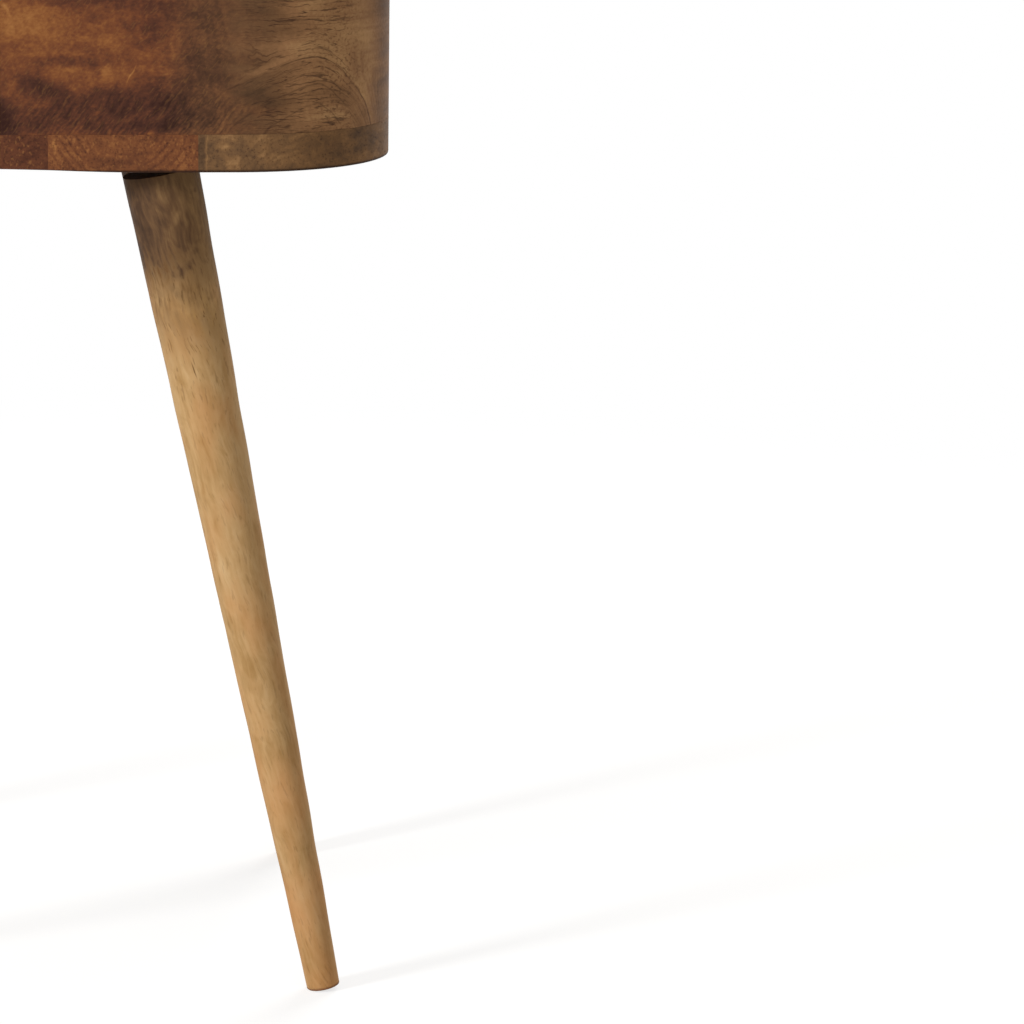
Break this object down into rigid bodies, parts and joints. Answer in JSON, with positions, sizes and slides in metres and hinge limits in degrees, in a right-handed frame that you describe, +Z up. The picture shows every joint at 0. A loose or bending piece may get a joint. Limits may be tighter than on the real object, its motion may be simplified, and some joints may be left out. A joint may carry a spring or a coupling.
{
  "type": "nightstand",
  "caption": "Free-standing bedside table: solid wood carcass with rounded corners and a sliding drawer, on splayed turned legs bolted to its base board.",
  "frame": {"origin": "on the floor, under the middle of the carcass", "axes": "+Z up, -Y is the side that the drawer opens to, +X to the right of someone who faces the drawer from outside"},
  "size_m": [0.45, 0.35, 0.62],
  "materials": {
    "board_wood": "chestnut stain on glued mango staves, satin lacquer",
    "wall_wood": "chestnut stain on figured mango wood, satin lacquer",
    "leg_wood": "natural mango wood, clear satin lacquer, stain oversprayed on the top",
    "plain_wood": "planed, unfinished",
    "steel": "zinc plated",
    "brass": "turned"
  },
  "bodies": {
    "carcass": {"back_panel": "wall_wood", "base_stave_1": "board_wood", "base_stave_2": "board_wood", "base_stave_3": "board_wood", "base_stave_4": "board_wood", "base_stave_5": "board_wood", "corner_post_back_left": "wall_wood", "corner_post_back_right": "wall_wood", "corner_post_front_left": "wall_wood", "corner_post_front_right": "wall_wood", "dowel_base_back_left": "plain_wood", "dowel_base_back_right": "plain_wood", "dowel_base_front_left": "plain_wood", "dowel_base_front_right": "plain_wood", "dowel_top_back_left": "plain_wood", "dowel_top_back_right": "plain_wood", "dowel_top_front_left": "plain_wood", "dowel_top_front_right": "plain_wood", "drawer_guide_left": "plain_wood", "drawer_guide_right": "plain_wood", "drawer_kicker_left": "plain_wood", "drawer_kicker_right": "plain_wood", "drawer_runner_left": "plain_wood", "drawer_runner_right": "plain_wood", "drawer_stop": "plain_wood", "hanger_bolt_back_left": "steel", "hanger_bolt_back_right": "steel", "hanger_bolt_front_left": "steel", "hanger_bolt_front_right": "steel", "kicker_screw_back_left": "steel", "kicker_screw_back_right": "steel", "kicker_screw_front_left": "steel", "kicker_screw_front_right": "steel", "leg_back_left": "leg_wood", "leg_back_right": "leg_wood", "leg_front_left": "leg_wood", "leg_front_right": "leg_wood", "runner_screw_back_left": "steel", "runner_screw_back_right": "steel", "runner_screw_front_left": "steel", "runner_screw_front_right": "steel", "side_panel_left": "wall_wood", "side_panel_right": "wall_wood", "threaded_insert_back_left": "brass", "threaded_insert_back_right": "brass", "threaded_insert_front_left": "brass", "threaded_insert_front_right": "brass", "top_stave_1": "board_wood", "top_stave_2": "board_wood", "top_stave_3": "board_wood", "top_stave_4": "board_wood", "top_stave_5": "board_wood"},
    "drawer": {"drawer_back": "plain_wood", "drawer_bottom": "plain_wood", "drawer_front": "wall_wood", "drawer_side_left": "plain_wood", "drawer_side_right": "plain_wood"}
  },
  "joints": [
    {"name": "drawer_slide", "type": "slide", "parent": "carcass", "child": "drawer", "axis": [0, -1, 0], "range_m": [0, 0.22]}
  ]
}
